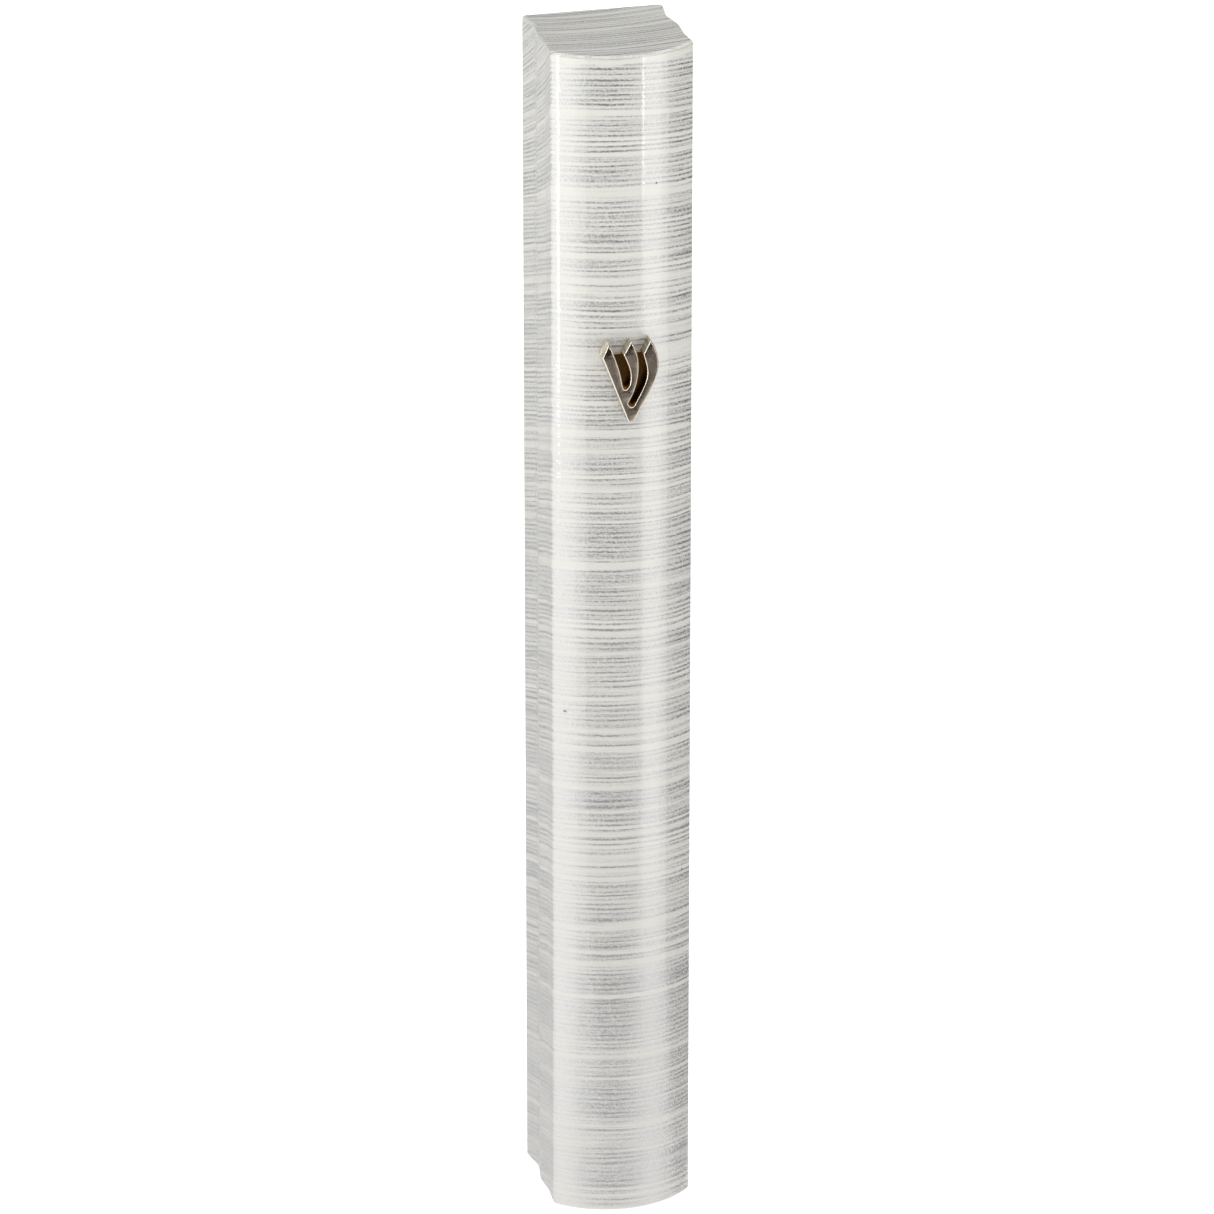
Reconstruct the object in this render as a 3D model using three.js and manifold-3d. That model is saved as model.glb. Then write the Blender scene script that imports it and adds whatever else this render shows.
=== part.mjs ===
// Mezuzah case: an upright hollow profile that holds a rolled parchment on a doorpost.
// Millimetres. +Z runs up the case, -Y is its front and +X is to the right of someone facing it.
// The origin is the middle of the mounting face that goes against the doorpost.

import * as THREE from 'three';
import { mergeVertices } from 'three/addons/utils/BufferGeometryUtils.js';
import Module from 'manifold-3d';

const wasm = await Module();
wasm.setup();

// ---------------------------------------------------------------- driving dimensions

// Walls round the chamber. They give the case its width and depth.
const chamberRadius = 6.5;
const backWall = 2.5;
const frontWall = 2.5;
const sideWall = 2.15;

// Section: a flat back, two shallow grooves down each side and a bowed front.
const crownRise = 3.7;
const rearGrooveFromBack = 4.2;
const rearGrooveDepth = 0.6;
const frontGrooveFromFrontEdge = 3.25;
const frontGrooveDepth = 0.22;
const frontEdgeRounding = 0.5;
const backEdgeRounding = 0.5;
const endRounding = 0.4;

// Plug glued into the top of the chamber.
const plugLength = 8;
const plugGlueLine = 0.05;

// Soft stopper pushed into the bottom of the chamber.
const stopperLength = 9;
const stopperClearance = 0.05;
const stopperInset = 0.3;
const stopperRibs = 3;
const stopperRibHeight = 0.35;
const stopperWall = 1.5;
const stopperRecess = 3.4;
const gripThickness = 1.4;
const gripWidth = 5;

// Rolled parchment and the clear wrap round it, which spring open in the chamber.
const parchmentHeight = 120;
const parchmentLength = 120;
const parchmentThickness = 0.3;
const parchmentPitch = 0.42;
const wrapThickness = 0.16;
const wrapPitch = 0.24;
const wrapTurns = 1.25;
const wrapOverhang = 1;
const wrapClearance = 0.1;
const scrollPlay = 0.5;
const headroom = 10.7;

// Cast letter on the front, with two pins in the case's front wall.
const emblemHeight = 10.2;
const emblemThickness = 1.6;
const emblemFromTop = 40;
const emblemBevel = 0.25;
const emblemGlueLine = 0.05;
const pinRadius = 0.5;
const pinClearance = 0.12;
const skinBehindPins = 0.78;

// Foam tape on the back, and its release liner with a tab to pull.
const tapeWidth = 12;
const tapeThickness = 1;
const tapeEndMargin = 15;
const linerThickness = 0.12;
const linerTab = 6;

// ---------------------------------------------------------------- places that follow from them

const halfWidth = chamberRadius + sideWall;
const sideDepth = backWall + 2 * chamberRadius + frontWall - crownRise;
const wrapHeight = parchmentHeight + 2 * wrapOverhang;
const caseHeight = stopperInset + stopperLength + wrapHeight + headroom + plugLength;

const caseTop = caseHeight / 2;
const caseBottom = -caseHeight / 2;
const backY = -(linerThickness + tapeThickness);
const crestY = backY - sideDepth - crownRise;
const chamberY = backY - backWall - chamberRadius;
const crownRadius = (halfWidth ** 2 + crownRise ** 2) / (2 * crownRise);
const crownCentreY = crestY + crownRadius;
const stopperBottom = caseBottom + stopperInset;
const stopperTop = stopperBottom + stopperLength;
const wrapRadius = chamberRadius - scrollPlay;
const scrollRadius = wrapRadius - wrapThickness - wrapPitch * wrapTurns - wrapClearance;
const emblemZ = caseTop - emblemFromTop;
const pinLength = frontWall - skinBehindPins - pinClearance;
const tapeLength = caseHeight - 2 * tapeEndMargin;

const roundSegments = 48;

// Pins sit under the left stroke and under the foot, in half heights of the letter.
const pinPlaces = [
  new THREE.Vector2(-0.42, 0.25),
  new THREE.Vector2(-0.03, -0.76),
];

// ---------------------------------------------------------------- materials

const material = (color, roughness, metalness = 0) =>
  new THREE.MeshStandardMaterial({ color, roughness, metalness });

const printedFilm = material(0xd9d9d4, 0.15);
const whitePlastic = material(0xeeece6, 0.4);
const darkSilicone = material(0x3b3b3d, 0.6);
const parchmentSkin = material(0xe3d3ae, 0.75);
const clearFilm = material(0xeef2f4, 0.1);
const castMetal = material(0x8a8178, 0.25, 1);
const whiteFoam = material(0xf2f2ef, 0.9);
const releasePaper = material(0xd8b45a, 0.5);

// ---------------------------------------------------------------- solid helpers

function toSolid(geometry) {
  const bare = geometry.index ? geometry.toNonIndexed() : geometry.clone();
  bare.deleteAttribute('normal');
  bare.deleteAttribute('uv');
  const merged = mergeVertices(bare, 1e-5);
  const mesh = new wasm.Mesh({
    numProp: 3,
    vertProperties: new Float32Array(merged.attributes.position.array),
    triVerts: new Uint32Array(merged.index.array),
  });
  return new wasm.Manifold(mesh);
}

function toGeometry(solid) {
  const mesh = solid.getMesh();
  const geometry = new THREE.BufferGeometry();
  geometry.setAttribute('position', new THREE.BufferAttribute(mesh.vertProperties, 3));
  geometry.setIndex(new THREE.BufferAttribute(mesh.triVerts, 1));
  geometry.computeVertexNormals();
  return geometry;
}

// Turns a shape's own plane (x right, y towards the front) and depth into the case's frame.
function standUp(geometry, z) {
  return geometry.scale(1, -1, -1).translate(0, 0, z);
}

// A turned piece about the chamber's axis, from [radius, height] points.
function turned(profile) {
  const points = profile.map(([radius, height]) => new THREE.Vector2(radius, height));
  const geometry = new THREE.LatheGeometry(points, roundSegments);
  return geometry.rotateX(Math.PI / 2).translate(0, chamberY, 0);
}

// A rod along Y between two depths.
function rodAlongY(radius, fromY, toY, x, z) {
  const length = Math.abs(toY - fromY);
  const geometry = new THREE.CylinderGeometry(radius, radius, length, 24);
  return geometry.translate(x, (fromY + toY) / 2, z);
}

// ---------------------------------------------------------------- case

// Points on the arc that rounds a corner of the section.
function roundedCorner(before, corner, after, radius, steps = 3) {
  const toBefore = before.clone().sub(corner).normalize();
  const toAfter = after.clone().sub(corner).normalize();
  const halfAngle = toBefore.angleTo(toAfter) / 2;
  const inward = toBefore.clone().add(toAfter).setLength(radius / Math.sin(halfAngle));
  const centre = corner.clone().add(inward);
  const start = corner.clone().add(toBefore.clone().setLength(radius / Math.tan(halfAngle)));
  const turn = -Math.sign(toBefore.cross(toAfter)) * (Math.PI - 2 * halfAngle);
  return Array.from({ length: steps + 1 }, (_, i) =>
    start.clone().rotateAround(centre, (turn * i) / steps));
}

// Section seen from above: x across, y from the back face towards the front.
function sectionOutline() {
  const side = [
    new THREE.Vector2(halfWidth, 0),
    new THREE.Vector2(halfWidth - rearGrooveDepth, rearGrooveFromBack),
    new THREE.Vector2(halfWidth, (rearGrooveFromBack + sideDepth - frontGrooveFromFrontEdge) / 2),
    new THREE.Vector2(halfWidth - frontGrooveDepth, sideDepth - frontGrooveFromFrontEdge),
    new THREE.Vector2(halfWidth, sideDepth),
  ];
  const sweep = Math.asin(halfWidth / crownRadius);
  const crownCentre = new THREE.Vector2(0, sideDepth + crownRise - crownRadius);
  const crownSteps = 24;
  const crown = [];
  for (let i = 1; i < crownSteps; i += 1) {
    const angle = sweep - (2 * sweep * i) / crownSteps;
    crown.push(new THREE.Vector2(
      crownCentre.x + crownRadius * Math.sin(angle),
      crownCentre.y + crownRadius * Math.cos(angle),
    ));
  }
  const mirrored = (point) => new THREE.Vector2(-point.x, point.y);
  const backLeft = mirrored(side[0]);
  const rightSide = [
    ...roundedCorner(backLeft, side[0], side[1], backEdgeRounding),
    side[1],
    side[2],
    side[3],
    ...roundedCorner(side[3], side[4], crown[0], frontEdgeRounding),
  ];
  return [...rightSide, ...crown, ...rightSide.map(mirrored).reverse()];
}

function caseGeometry() {
  const shape = new THREE.Shape(sectionOutline());
  const bore = new THREE.Path();
  bore.absarc(0, backWall + chamberRadius, chamberRadius, 0, 2 * Math.PI, true);
  shape.holes.push(new THREE.Path(bore.getSpacedPoints(roundSegments).slice(0, -1)));
  const geometry = new THREE.ExtrudeGeometry(shape, {
    depth: caseHeight - 2 * endRounding,
    bevelThickness: endRounding,
    bevelSize: endRounding,
    bevelOffset: -endRounding,
    bevelSegments: 2,
  });
  standUp(geometry, caseTop - endRounding).translate(0, backY, 0);
  let solid = toSolid(geometry);
  for (const pinPlace of pinPlaces) {
    const { x, z } = pinCentre(pinPlace);
    const bottomY = crestY + pinLength + pinClearance;
    const hole = rodAlongY(pinRadius + pinClearance, crestY - 1, bottomY, x, z);
    solid = solid.subtract(toSolid(hole));
  }
  return toGeometry(solid);
}

function plugGeometry() {
  const radius = chamberRadius - plugGlueLine;
  const bottom = caseTop - plugLength;
  return turned([
    [0, bottom],
    [radius - endRounding, bottom],
    [radius, bottom + endRounding],
    [radius, caseTop],
    [0, caseTop],
  ]);
}

// ---------------------------------------------------------------- stopper

function stopperGeometry() {
  const ribRadius = chamberRadius - stopperClearance;
  const coreRadius = ribRadius - stopperRibHeight;
  const recessRadius = ribRadius - stopperWall;
  const ceiling = stopperBottom + stopperRecess;
  const ribPitch = stopperLength / (stopperRibs + 1);
  const outside = [];
  for (let rib = 0; rib < stopperRibs; rib += 1) {
    const middle = stopperBottom + ribPitch * (rib + 1);
    outside.push([coreRadius, middle - 2 * stopperRibHeight]);
    outside.push([ribRadius, middle - stopperRibHeight / 2]);
    outside.push([ribRadius, middle + stopperRibHeight / 2]);
    outside.push([coreRadius, middle + 2 * stopperRibHeight]);
  }
  const body = turned([
    [0, ceiling],
    [recessRadius, ceiling],
    [recessRadius, stopperBottom],
    [coreRadius, stopperBottom],
    ...outside,
    [coreRadius, stopperTop - stopperRibHeight],
    [coreRadius - stopperRibHeight, stopperTop],
    [0, stopperTop],
  ]);
  const root = stopperRecess / 2;
  const grip = new THREE.BoxGeometry(gripWidth, gripThickness, stopperRecess + root);
  grip.translate(0, chamberY, stopperBottom + (stopperRecess + root) / 2);
  return toGeometry(toSolid(body).add(toSolid(grip)));
}

// ---------------------------------------------------------------- scroll

// A sheet rolled on itself about the chamber's axis, standing on height z.
function rolledSheet(outerRadius, turns, pitch, thickness, height, z) {
  const steps = Math.ceil(turns * 22);
  const spiral = (inset) => Array.from({ length: steps + 1 }, (_, i) => {
    const angle = (2 * Math.PI * turns * i) / steps;
    const radius = outerRadius - inset - (pitch * angle) / (2 * Math.PI);
    return new THREE.Vector2(radius * Math.cos(angle), radius * Math.sin(angle));
  });
  const shape = new THREE.Shape([...spiral(0), ...spiral(thickness).reverse()]);
  const geometry = new THREE.ExtrudeGeometry(shape, { depth: height, bevelEnabled: false });
  return standUp(geometry, z + height).translate(0, chamberY, 0);
}

function parchmentGeometry() {
  const room = scrollRadius ** 2 - (parchmentPitch * parchmentLength) / Math.PI;
  const turns = (scrollRadius - Math.sqrt(room)) / parchmentPitch;
  const bottom = stopperTop + wrapOverhang;
  return rolledSheet(
    scrollRadius, turns, parchmentPitch, parchmentThickness, parchmentHeight, bottom,
  );
}

function wrapGeometry() {
  return rolledSheet(wrapRadius, wrapTurns, wrapPitch, wrapThickness, wrapHeight, stopperTop);
}

// ---------------------------------------------------------------- emblem

function pinCentre(pinPlace) {
  return { x: pinPlace.x * emblemHeight / 2, z: emblemZ + pinPlace.y * emblemHeight / 2 };
}

// The letter shin: three strokes with slanted heads that meet in a pointed foot.
// Coordinates are in half heights of the letter, about its own middle.
function letterShape() {
  const shape = new THREE.Shape();
  shape.moveTo(-0.56, 0.99);
  shape.lineTo(-0.725, 0.66);
  shape.lineTo(-0.12, -0.95);
  shape.quadraticCurveTo(-0.05, -1.04, 0.04, -0.96);
  shape.bezierCurveTo(0.215, -0.47, 0.955, 0.18, 0.43, 1.0);
  shape.lineTo(0.25, 0.665);
  shape.bezierCurveTo(0.39, 0.16, 0.41, 0.11, 0.057, -0.54);
  shape.quadraticCurveTo(-0.015, -0.7, -0.108, -0.51);
  shape.bezierCurveTo(0.16, -0.086, 0.262, 0.542, -0.033, 1.0);
  shape.lineTo(-0.22, 0.695);
  shape.bezierCurveTo(-0.108, 0.41, -0.01, 0.25, -0.073, -0.057);
  shape.quadraticCurveTo(-0.17, -0.26, -0.23, -0.1);
  shape.bezierCurveTo(-0.28, 0.133, -0.26, 0.275, -0.56, 0.99);
  const half = emblemHeight / 2;
  const points = shape.getPoints(8).map((point) => point.multiplyScalar(half));
  return new THREE.Shape(points);
}

function emblemGeometry() {
  const sink = 2 * emblemBevel + crownRise / 3;
  const letter = new THREE.ExtrudeGeometry(letterShape(), {
    depth: emblemThickness + sink - 2 * emblemBevel,
    bevelThickness: emblemBevel,
    bevelSize: emblemBevel,
    bevelOffset: -emblemBevel,
    bevelSegments: 1,
  });
  letter.rotateX(Math.PI / 2).translate(0, crestY + sink - emblemBevel, emblemZ);
  const crown = new THREE.CylinderGeometry(
    crownRadius + emblemGlueLine, crownRadius + emblemGlueLine, 2 * emblemHeight, 192,
  );
  crown.rotateX(Math.PI / 2).translate(0, crownCentreY, emblemZ);
  let solid = toSolid(letter).subtract(toSolid(crown));
  for (const pinPlace of pinPlaces) {
    const { x, z } = pinCentre(pinPlace);
    const pin = rodAlongY(pinRadius, crestY - emblemThickness / 2, crestY + pinLength, x, z);
    solid = solid.add(toSolid(pin));
  }
  return toGeometry(solid);
}

// ---------------------------------------------------------------- mounting tape

function tapeGeometry() {
  const geometry = new THREE.BoxGeometry(tapeWidth, tapeThickness, tapeLength);
  return geometry.translate(0, backY + tapeThickness / 2, 0);
}

function linerGeometry() {
  const geometry = new THREE.BoxGeometry(tapeWidth, linerThickness, tapeLength + linerTab);
  return geometry.translate(0, -linerThickness / 2, -linerTab / 2);
}

// ---------------------------------------------------------------- assembly

const group = new THREE.Group();

function place(name, geometry, look) {
  const mesh = new THREE.Mesh(geometry, look);
  mesh.name = name;
  group.add(mesh);
}

place('case_body', caseGeometry(), printedFilm);
place('top_plug', plugGeometry(), whitePlastic);
place('stopper', stopperGeometry(), darkSilicone);
place('scroll_parchment', parchmentGeometry(), parchmentSkin);
place('scroll_wrap', wrapGeometry(), clearFilm);
place('shin_emblem', emblemGeometry(), castMetal);
place('mounting_tape', tapeGeometry(), whiteFoam);
place('tape_liner', linerGeometry(), releasePaper);

export default group;
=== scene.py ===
import math

import bpy
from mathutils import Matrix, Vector


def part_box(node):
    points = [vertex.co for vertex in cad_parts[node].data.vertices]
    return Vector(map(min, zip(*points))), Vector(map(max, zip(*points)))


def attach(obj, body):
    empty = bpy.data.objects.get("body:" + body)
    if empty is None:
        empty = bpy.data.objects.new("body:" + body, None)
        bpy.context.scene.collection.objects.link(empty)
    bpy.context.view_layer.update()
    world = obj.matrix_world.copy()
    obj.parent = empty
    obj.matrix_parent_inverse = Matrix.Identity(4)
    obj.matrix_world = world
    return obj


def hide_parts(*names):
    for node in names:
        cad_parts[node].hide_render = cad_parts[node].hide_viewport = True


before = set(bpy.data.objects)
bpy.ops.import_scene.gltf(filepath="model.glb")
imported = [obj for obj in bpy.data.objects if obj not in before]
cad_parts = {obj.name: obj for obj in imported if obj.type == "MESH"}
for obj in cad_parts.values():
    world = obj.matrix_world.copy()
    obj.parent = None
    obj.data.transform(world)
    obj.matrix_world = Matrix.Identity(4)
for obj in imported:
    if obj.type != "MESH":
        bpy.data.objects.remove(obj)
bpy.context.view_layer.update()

mm = 0.001
upright = (0, 0, 1)

caseLow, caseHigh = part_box("case_body")
plugLow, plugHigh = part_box("top_plug")
stopperLow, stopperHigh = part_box("stopper")
scrollLow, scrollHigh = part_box("scroll_parchment")
wrapLow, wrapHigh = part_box("scroll_wrap")
tapeLow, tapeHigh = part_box("mounting_tape")
linerLow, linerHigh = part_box("tape_liner")
emblemLow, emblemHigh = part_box("shin_emblem")

halfWidth = caseHigh.x
halfHeight = caseHigh.z
backY = caseHigh.y
crestY = caseLow.y
chamberY = (plugLow.y + plugHigh.y) / 2


# small helpers

def linear(hexColour):
    # sRGB hex to the linear colour that a shader socket takes
    channels = [int(hexColour[i:i + 2], 16) / 255 for i in (0, 2, 4)]
    curve = [c / 12.92 if c <= 0.04045 else ((c + 0.055) / 1.055) ** 2.4 for c in channels]
    return (*curve, 1)


def addNode(tree, kind, inputs=None, **settings):
    # adds a node, sets or links its inputs, and gives back its outputs
    node = tree.nodes.new(kind)
    for name, value in settings.items():
        setattr(node, name, value)
    for socket, value in (inputs or {}).items():
        if isinstance(value, bpy.types.NodeSocket):
            tree.links.new(value, node.inputs[socket])
        else:
            node.inputs[socket].default_value = value
    return node.outputs


def calc(tree, operation, *values):
    return addNode(tree, "ShaderNodeMath", dict(enumerate(values)), operation=operation)[0]


def newMaterial(name):
    material = bpy.data.materials.new(name)
    material.use_nodes = True
    material.node_tree.nodes.clear()
    return material, material.node_tree


def nothingSelected():
    if bpy.context.object and bpy.context.object.mode != "OBJECT":
        bpy.ops.object.mode_set(mode="OBJECT")
    bpy.ops.object.select_all(action="DESELECT")


def makeActive(piece):
    nothingSelected()
    piece.select_set(True)
    bpy.context.view_layer.objects.active = piece


def takePrimitive(name, scale=(1, 1, 1)):
    # names the primitive just added and settles its size and place into its mesh
    piece = bpy.context.object
    piece.name = name
    piece.data.name = name
    piece.scale = scale
    makeActive(piece)
    bpy.ops.object.transform_apply(location=True, rotation=True, scale=True)
    return piece


def pick(piece, kind, wanted):
    # selects the faces, edges or corners whose middle and direction pass a test
    makeActive(piece)
    bpy.ops.object.mode_set(mode="EDIT")
    bpy.ops.mesh.select_mode(type=kind)
    bpy.ops.mesh.select_all(action="DESELECT")
    bpy.ops.object.mode_set(mode="OBJECT")
    mesh = piece.data
    if kind == "FACE":
        for face in mesh.polygons:
            face.select = wanted(face.center, face.normal)
    elif kind == "EDGE":
        for edge in mesh.edges:
            start, end = (mesh.vertices[i].co for i in edge.vertices)
            edge.select = wanted((start + end) / 2, (end - start).normalized())
    else:
        for corner in mesh.vertices:
            corner.select = wanted(corner.co, corner.normal)
    bpy.ops.object.mode_set(mode="EDIT")


def roundOff(width, segments=4):
    bpy.ops.mesh.bevel(offset=width, segments=segments, affect="EDGES", clamp_overlap=True)


def roundedCap(side, radius, steps, half, about):
    # carries the selected cap out through a quarter circle, shrinking it so that its rim is rounded
    width, depth = half
    inset = 0
    for step in range(steps):
        before, after = (math.pi / 2 * share / steps for share in (step, step + 1))
        nextInset = radius * (1 - math.cos(after))
        scale = ((width - nextInset) / (width - inset), (depth - nextInset) / (depth - inset), 1)
        extrudeFace((0, 0, side * radius * (math.sin(after) - math.sin(before))), scale, about)
        inset = nextInset


def bisectAt(piece, point, normal, **options):
    makeActive(piece)
    bpy.ops.object.mode_set(mode="EDIT")
    bpy.ops.mesh.select_all(action="SELECT")
    bpy.ops.mesh.bisect(plane_co=point, plane_no=normal, threshold=0.001 * mm, **options)
    bpy.ops.object.mode_set(mode="OBJECT")


def extrudeFace(step, scale=(1, 1, 1), about=(0, 0, 0)):
    bpy.ops.mesh.extrude_region_move(TRANSFORM_OT_translate={"value": step})
    bpy.ops.transform.resize(value=scale, center_override=about)


def facesOut(piece):
    makeActive(piece)
    bpy.ops.object.mode_set(mode="EDIT")
    bpy.ops.mesh.select_all(action="SELECT")
    bpy.ops.mesh.remove_doubles(threshold=0.002 * mm)
    bpy.ops.mesh.normals_make_consistent(inside=False)
    bpy.ops.object.mode_set(mode="OBJECT")


def finishWith(piece, kind, **settings):
    # adds a modifier and applies it
    makeActive(piece)
    modifier = piece.modifiers.new(kind.title(), kind)
    for name, value in settings.items():
        setattr(modifier, name, value)
    bpy.ops.object.modifier_apply(modifier=modifier.name)


def combine(piece, tool, operation):
    finishWith(piece, "BOOLEAN", object=tool, operation=operation, solver="EXACT")
    bpy.data.objects.remove(tool)


def turnedPiece(name, profile, x=0, y=0, sides=96):
    # a turned solid: a disc is extruded along Z and scaled ring by ring
    radius, height = profile[0]
    bpy.ops.mesh.primitive_circle_add(
        vertices=sides, radius=radius, fill_type="NGON", location=(x, y, height))
    piece = takePrimitive(name)
    bpy.ops.object.mode_set(mode="EDIT")
    bpy.ops.mesh.select_mode(type="FACE")
    bpy.ops.mesh.select_all(action="SELECT")
    for nextRadius, nextHeight in profile[1:]:
        share = nextRadius / radius
        extrudeFace((0, 0, nextHeight - height), (share, share, 1), (x, y, nextHeight))
        radius, height = nextRadius, nextHeight
    bpy.ops.object.mode_set(mode="OBJECT")
    facesOut(piece)
    return piece


def block(name, low, high):
    size = Vector(high) - Vector(low)
    bpy.ops.mesh.primitive_cube_add(size=1, location=(Vector(high) + Vector(low)) / 2)
    return takePrimitive(name, size)


def handOver(piece, material, body, node, smoothAngle=35):
    # shading, finish, and whose place in the frame the piece takes
    makeActive(piece)
    piece.data.materials.clear()
    piece.data.materials.append(material)
    bpy.ops.object.shade_smooth_by_angle(angle=math.radians(smoothAngle))
    finishWith(piece, "WEIGHTED_NORMAL", keep_sharp=True, weight=80)
    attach(piece, body)
    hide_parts(node)
    print("piece", piece.name, "faces", len(piece.data.polygons))


# camera, lights and floor

cameraLook = {
    "azimuth": -14.37, "elevation": 22.675, "distance": 947.9 * mm,
    "lens": 232.28, "aim": (0.067 * mm, -8.04 * mm, 1.18 * mm),
}


def fromObject(azimuth, elevation, distance, centre=(0, 0, 0)):
    # a point that far from the centre, azimuth 0 in front and 90 to the right
    a, e = math.radians(azimuth), math.radians(elevation)
    reach = Vector((math.sin(a) * math.cos(e), -math.cos(a) * math.cos(e), math.sin(e)))
    return Vector(centre) + distance * reach


def addCamera():
    aim = Vector(cameraLook["aim"])
    spot = fromObject(cameraLook["azimuth"], cameraLook["elevation"], cameraLook["distance"], aim)
    bpy.ops.object.camera_add(location=spot)
    camera = bpy.context.object
    camera.rotation_euler = (aim - spot).to_track_quat("-Z", "Y").to_euler()
    camera.data.lens = cameraLook["lens"]
    camera.data.sensor_width = 36
    camera.data.clip_start = 0.05
    camera.data.clip_end = 60
    bpy.context.scene.camera = camera


# azimuths and elevations in degrees as seen from the case, radiance as a share of paper white
lightLooks = {
    "leftSoftbox": {"azimuths": (-82, -47), "elevations": (-28, 44), "radiance": 0.8},
    "rightSoftbox": {"azimuths": (31, 53), "elevations": (-26, 44), "radiance": 1.05},
    "leftStrip": {"azimuths": (-69.2, -67.4), "elevations": (-19.9, 30), "radiance": 14.0},
    "rightStrip": {"azimuths": (29.4, 30.5), "elevations": (-17.2, 10), "radiance": 14.0},
}
lightDistance = 1.5
floorLook = {"drop": 0.8, "size": 30.0, "colour": "f4f4f4", "glow": 0.32}
worldLook = {"horizon": 0.44, "overhead": 1.61, "backdrop": 1.0}


def addLight(name, look):
    left, right = look["azimuths"]
    low, high = look["elevations"]
    middle = fromObject((left + right) / 2, 0, lightDistance)
    bottom = lightDistance * math.tan(math.radians(low))
    top = lightDistance * math.tan(math.radians(high))
    middle.z = (bottom + top) / 2
    bpy.ops.object.light_add(type="AREA", location=middle)
    lamp = bpy.context.object
    lamp.name = name
    level = Vector((-middle.x, -middle.y, 0))
    lamp.rotation_euler = level.to_track_quat("-Z", "Y").to_euler()
    lamp.data.shape = "RECTANGLE"
    lamp.data.size = 2 * lightDistance * math.tan(math.radians((right - left) / 2))
    lamp.data.size_y = top - bottom
    area = lamp.data.size * lamp.data.size_y
    lamp.data.energy = look["radiance"] * math.pi * area


# dim cards out of shot, which only gloss and metal see: azimuths in degrees, heights in metres
flagLooks = {
    "frontFlag": {"azimuths": (-36, 28), "heights": (-0.44, 0.5), "distance": 1.45, "radiance": 0.02},
    "lowFlag": {"azimuths": (-36, 28), "heights": (-0.79, -0.44), "distance": 1.45, "radiance": 0.12},
    "backFlag": {"azimuths": (-205, -128), "heights": (-0.79, -0.1), "distance": 1.3, "radiance": 0.62},
    "rightFlag": {"azimuths": (62, 118), "heights": (-0.79, 0.3), "distance": 1.4, "radiance": 0.06},
    "highFlag": {"azimuths": (135, 200), "heights": (0.2, 1.1), "distance": 1.35, "radiance": 0.24},
}


def addFlag(name, look):
    left, right = look["azimuths"]
    low, high = look["heights"]
    turn = (left + right) / 2
    middle = fromObject(turn, 0, look["distance"])
    middle.z = (low + high) / 2
    width = 2 * look["distance"] * math.tan(math.radians((right - left) / 2))
    bpy.ops.mesh.primitive_plane_add(
        size=1, location=middle, rotation=(math.pi / 2, 0, math.radians(turn)))
    flag = takePrimitive(name, (width, high - low, 1))
    material, tree = newMaterial(name + "Cloth")  # black or grey cloth, as dim as it would be lit
    cloth = addNode(tree, "ShaderNodeEmission", {"Color": (1, 1, 1, 1), "Strength": look["radiance"]})
    addNode(tree, "ShaderNodeOutputMaterial", {"Surface": cloth[0]})
    flag.data.materials.append(material)
    flag.visible_camera = False
    flag.visible_diffuse = False
    flag.visible_shadow = False


def addFloor():
    bpy.ops.mesh.primitive_plane_add(size=floorLook["size"], location=(0, 0, -floorLook["drop"]))
    floor = takePrimitive("floor")
    material, tree = newMaterial("paleSeamlessPaper")  # matt paper, bright enough to fall out to white
    shader = addNode(tree, "ShaderNodeBsdfPrincipled", {
        "Base Color": linear(floorLook["colour"]), "Roughness": 0.9,
        "Emission Color": (1, 1, 1, 1), "Emission Strength": floorLook["glow"]})
    addNode(tree, "ShaderNodeOutputMaterial", {"Surface": shader[0]})
    floor.data.materials.append(material)


def addWorld():
    world = bpy.data.worlds.new("studio")
    bpy.context.scene.world = world
    world.use_nodes = True
    tree = world.node_tree
    tree.nodes.clear()
    direction = addNode(tree, "ShaderNodeTexCoord")["Generated"]
    height = addNode(tree, "ShaderNodeSeparateXYZ", {0: direction})["Z"]
    level = addNode(tree, "ShaderNodeMapRange", {
        "Value": height, "From Min": 0.1, "From Max": 0.9,
        "To Min": worldLook["horizon"], "To Max": worldLook["overhead"]})[0]
    seen = addNode(tree, "ShaderNodeLightPath")["Is Camera Ray"]
    strength = addNode(tree, "ShaderNodeMix", {"Factor": seen, "A": level, "B": worldLook["backdrop"]})[0]
    sky = addNode(tree, "ShaderNodeBackground", {"Color": (1, 1, 1, 1), "Strength": strength})
    addNode(tree, "ShaderNodeOutputWorld", {"Surface": sky[0]})


addCamera()
for lightName, lightLook in lightLooks.items():
    addLight(lightName, lightLook)
for flagName, flagLook in flagLooks.items():
    addFlag(flagName, flagLook)
addFloor()
addWorld()
bpy.context.scene.view_settings.view_transform = "Standard"
print("stage: camera, lights and floor")


# printed film over the case

caseShape = {
    "crownRise": 3.7 * mm,
    "rearGrooveFromBack": 4.2 * mm, "rearGrooveDepth": 0.6 * mm,
    "frontGrooveFromFrontEdge": 3.25 * mm, "frontGrooveDepth": 0.22 * mm,
    "frontEdgeRounding": 0.31 * mm, "backEdgeRounding": 0.5 * mm,
    "grooveSoftening": 0.45 * mm, "endRounding": 0.4 * mm, "endSteps": 5,
    "chamberRadius": 6.5 * mm, "skinOverPlug": 0.3 * mm,
    "pinHoleRadius": 0.62 * mm, "pinHoleDepth": 1.72 * mm,
    "crownSides": 192,
}
frontEdgeY = crestY + caseShape["crownRise"]

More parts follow.
